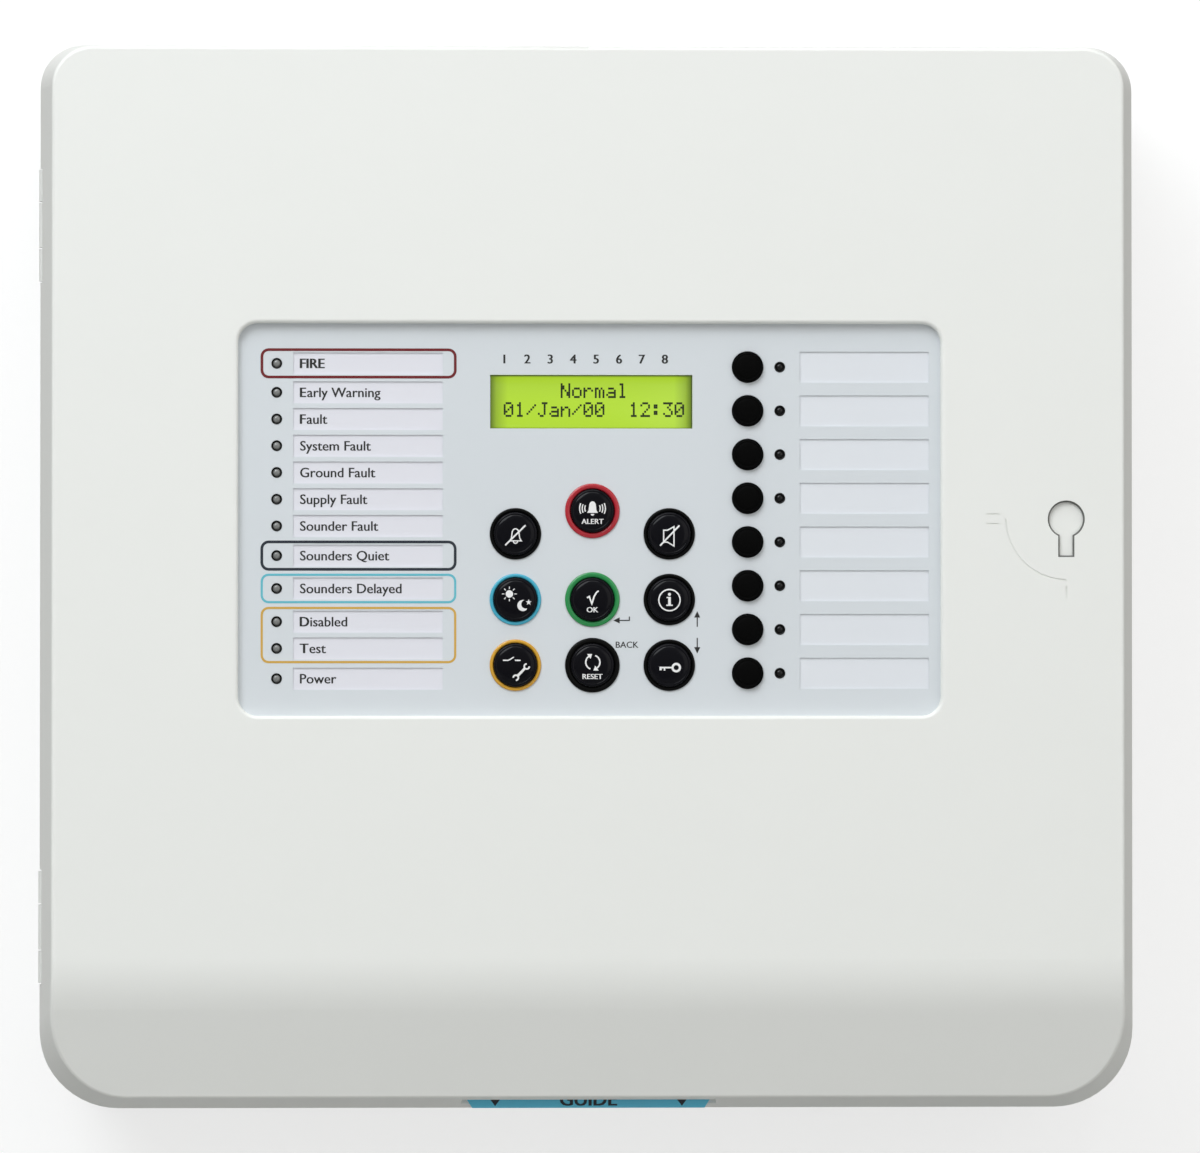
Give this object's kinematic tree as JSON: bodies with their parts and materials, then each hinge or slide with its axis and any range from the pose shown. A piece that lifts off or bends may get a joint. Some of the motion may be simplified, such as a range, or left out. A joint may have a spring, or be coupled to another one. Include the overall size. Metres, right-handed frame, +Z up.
{
  "type": "fire alarm control panel",
  "caption": "Wall-mounted fire alarm control panel with a hinged keyed front cover, zone keys, status lamps, character display and standby batteries.",
  "frame": {"origin": "centre of the box's back face, on the wall plane", "axes": "+X to the viewer's right, +Y into the wall, +Z up"},
  "size_m": [0.344, 0.1, 0.334],
  "materials": {
    "housing_plastic": "satin moulded",
    "cover_plastic": "satin moulded",
    "steel": "zinc plated",
    "battery_case": "satin moulded",
    "tinned_brass": "tinned",
    "lead_red": "soft vinyl",
    "lead_black": "soft vinyl",
    "circuit_board": "solder mask",
    "terminal_green": "moulded",
    "terminal_white": "moulded",
    "relay_case": "moulded",
    "capacitor_sleeve": "printed sleeve",
    "fuse_holder": "moulded with glass",
    "black_plastic": "moulded",
    "transformer_core": "varnished laminations",
    "ribbon_grey": "flat cable",
    "grommet_rubber": "soft",
    "overlay_film": "printed film",
    "card_paper": "plain",
    "card_blue": "printed card",
    "lamp_resin": "diffuse resin",
    "display_glass": "yellow-green backlight",
    "ring_plastic": "moulded",
    "barrel_plastic": "moulded",
    "key_plastic": "moulded"
  },
  "bodies": {
    "housing": {"rear_housing": "housing_plastic", "hinge_pins": "steel", "battery_left": "battery_case", "battery_right": "battery_case", "battery_terminals": "tinned_brass", "battery_link_lead": "lead_black", "battery_lead_red": "lead_red", "battery_lead_black": "lead_black", "main_board": "circuit_board", "zone_terminals": "terminal_green", "output_terminals": "terminal_green", "relays": "relay_case", "capacitors": "capacitor_sleeve", "fuses": "fuse_holder", "ribbon_header_main": "black_plastic", "board_screws": "steel", "power_board": "circuit_board", "power_transformer": "transformer_core", "mains_terminal_block": "terminal_white", "ribbon_housing_half": "ribbon_grey", "entry_grommets": "grommet_rubber"},
    "door": {"front_cover": "cover_plastic", "fascia_overlay": "overlay_film", "fascia_plate": "black_plastic", "status_label_card": "card_paper", "zone_label_card": "card_paper", "display_board": "circuit_board", "tact_switches": "black_plastic", "indicator_leds": "lamp_resin", "lcd_bezel": "black_plastic", "lcd_glass": "display_glass", "lcd_board": "circuit_board", "key_rings": "ring_plastic", "display_screws": "steel", "buzzer": "black_plastic", "ribbon_header_door": "black_plastic", "ribbon_door_half": "ribbon_grey", "card_holder": "black_plastic", "lock_bush": "black_plastic"},
    "lock": {"lock_barrel": "barrel_plastic", "lock_cam": "steel"},
    "card": {"info_card": "card_blue"},
    "key_evacuate_cap": {"key_evacuate": "key_plastic"},
    "key_silence_buzzer_cap": {"key_silence_buzzer": "key_plastic"},
    "key_silence_sounders_cap": {"key_silence_sounders": "key_plastic"},
    "key_day_night_cap": {"key_day_night": "key_plastic"},
    "key_acknowledge_cap": {"key_acknowledge": "key_plastic"},
    "key_information_cap": {"key_information": "key_plastic"},
    "key_test_cap": {"key_test": "key_plastic"},
    "key_reset_cap": {"key_reset": "key_plastic"},
    "key_access_cap": {"key_access": "key_plastic"},
    "zone_key_1_cap": {"zone_key_1": "key_plastic"},
    "zone_key_2_cap": {"zone_key_2": "key_plastic"},
    "zone_key_3_cap": {"zone_key_3": "key_plastic"},
    "zone_key_4_cap": {"zone_key_4": "key_plastic"},
    "zone_key_5_cap": {"zone_key_5": "key_plastic"},
    "zone_key_6_cap": {"zone_key_6": "key_plastic"},
    "zone_key_7_cap": {"zone_key_7": "key_plastic"},
    "zone_key_8_cap": {"zone_key_8": "key_plastic"}
  },
  "joints": [
    {"name": "door_hinge", "type": "hinge", "parent": "housing", "child": "door", "pos_m": [-0.169, -0.0735, 0], "axis": [0, 0, -1], "range_deg": [0, 110]},
    {"name": "lock_turn", "type": "hinge", "parent": "door", "child": "lock", "pos_m": [0.1484, -0.0967, 0.0174], "axis": [0, 1, 0], "range_deg": [-90, 0]},
    {"name": "card_slide", "type": "slide", "parent": "door", "child": "card", "axis": [0, 0, -1], "range_m": [0, 0.09]},
    {"name": "key_evacuate_press", "type": "slide", "parent": "door", "child": "key_evacuate_cap", "axis": [0, 1, 0], "range_m": [0, 0.0008], "stiffness_N_per_m": 1500, "springref_m": -0.0005},
    {"name": "key_silence_buzzer_press", "type": "slide", "parent": "door", "child": "key_silence_buzzer_cap", "axis": [0, 1, 0], "range_m": [0, 0.0008], "stiffness_N_per_m": 1500, "springref_m": -0.0005},
    {"name": "key_silence_sounders_press", "type": "slide", "parent": "door", "child": "key_silence_sounders_cap", "axis": [0, 1, 0], "range_m": [0, 0.0008], "stiffness_N_per_m": 1500, "springref_m": -0.0005},
    {"name": "key_day_night_press", "type": "slide", "parent": "door", "child": "key_day_night_cap", "axis": [0, 1, 0], "range_m": [0, 0.0008], "stiffness_N_per_m": 1500, "springref_m": -0.0005},
    {"name": "key_acknowledge_press", "type": "slide", "parent": "door", "child": "key_acknowledge_cap", "axis": [0, 1, 0], "range_m": [0, 0.0008], "stiffness_N_per_m": 1500, "springref_m": -0.0005},
    {"name": "key_information_press", "type": "slide", "parent": "door", "child": "key_information_cap", "axis": [0, 1, 0], "range_m": [0, 0.0008], "stiffness_N_per_m": 1500, "springref_m": -0.0005},
    {"name": "key_test_press", "type": "slide", "parent": "door", "child": "key_test_cap", "axis": [0, 1, 0], "range_m": [0, 0.0008], "stiffness_N_per_m": 1500, "springref_m": -0.0005},
    {"name": "key_reset_press", "type": "slide", "parent": "door", "child": "key_reset_cap", "axis": [0, 1, 0], "range_m": [0, 0.0008], "stiffness_N_per_m": 1500, "springref_m": -0.0005},
    {"name": "key_access_press", "type": "slide", "parent": "door", "child": "key_access_cap", "axis": [0, 1, 0], "range_m": [0, 0.0008], "stiffness_N_per_m": 1500, "springref_m": -0.0005},
    {"name": "zone_key_1_press", "type": "slide", "parent": "door", "child": "zone_key_1_cap", "axis": [0, 1, 0], "range_m": [0, 0.0008], "stiffness_N_per_m": 1200, "springref_m": -0.0005},
    {"name": "zone_key_2_press", "type": "slide", "parent": "door", "child": "zone_key_2_cap", "axis": [0, 1, 0], "range_m": [0, 0.0008], "stiffness_N_per_m": 1200, "springref_m": -0.0005},
    {"name": "zone_key_3_press", "type": "slide", "parent": "door", "child": "zone_key_3_cap", "axis": [0, 1, 0], "range_m": [0, 0.0008], "stiffness_N_per_m": 1200, "springref_m": -0.0005},
    {"name": "zone_key_4_press", "type": "slide", "parent": "door", "child": "zone_key_4_cap", "axis": [0, 1, 0], "range_m": [0, 0.0008], "stiffness_N_per_m": 1200, "springref_m": -0.0005},
    {"name": "zone_key_5_press", "type": "slide", "parent": "door", "child": "zone_key_5_cap", "axis": [0, 1, 0], "range_m": [0, 0.0008], "stiffness_N_per_m": 1200, "springref_m": -0.0005},
    {"name": "zone_key_6_press", "type": "slide", "parent": "door", "child": "zone_key_6_cap", "axis": [0, 1, 0], "range_m": [0, 0.0008], "stiffness_N_per_m": 1200, "springref_m": -0.0005},
    {"name": "zone_key_7_press", "type": "slide", "parent": "door", "child": "zone_key_7_cap", "axis": [0, 1, 0], "range_m": [0, 0.0008], "stiffness_N_per_m": 1200, "springref_m": -0.0005},
    {"name": "zone_key_8_press", "type": "slide", "parent": "door", "child": "zone_key_8_cap", "axis": [0, 1, 0], "range_m": [0, 0.0008], "stiffness_N_per_m": 1200, "springref_m": -0.0005}
  ]
}
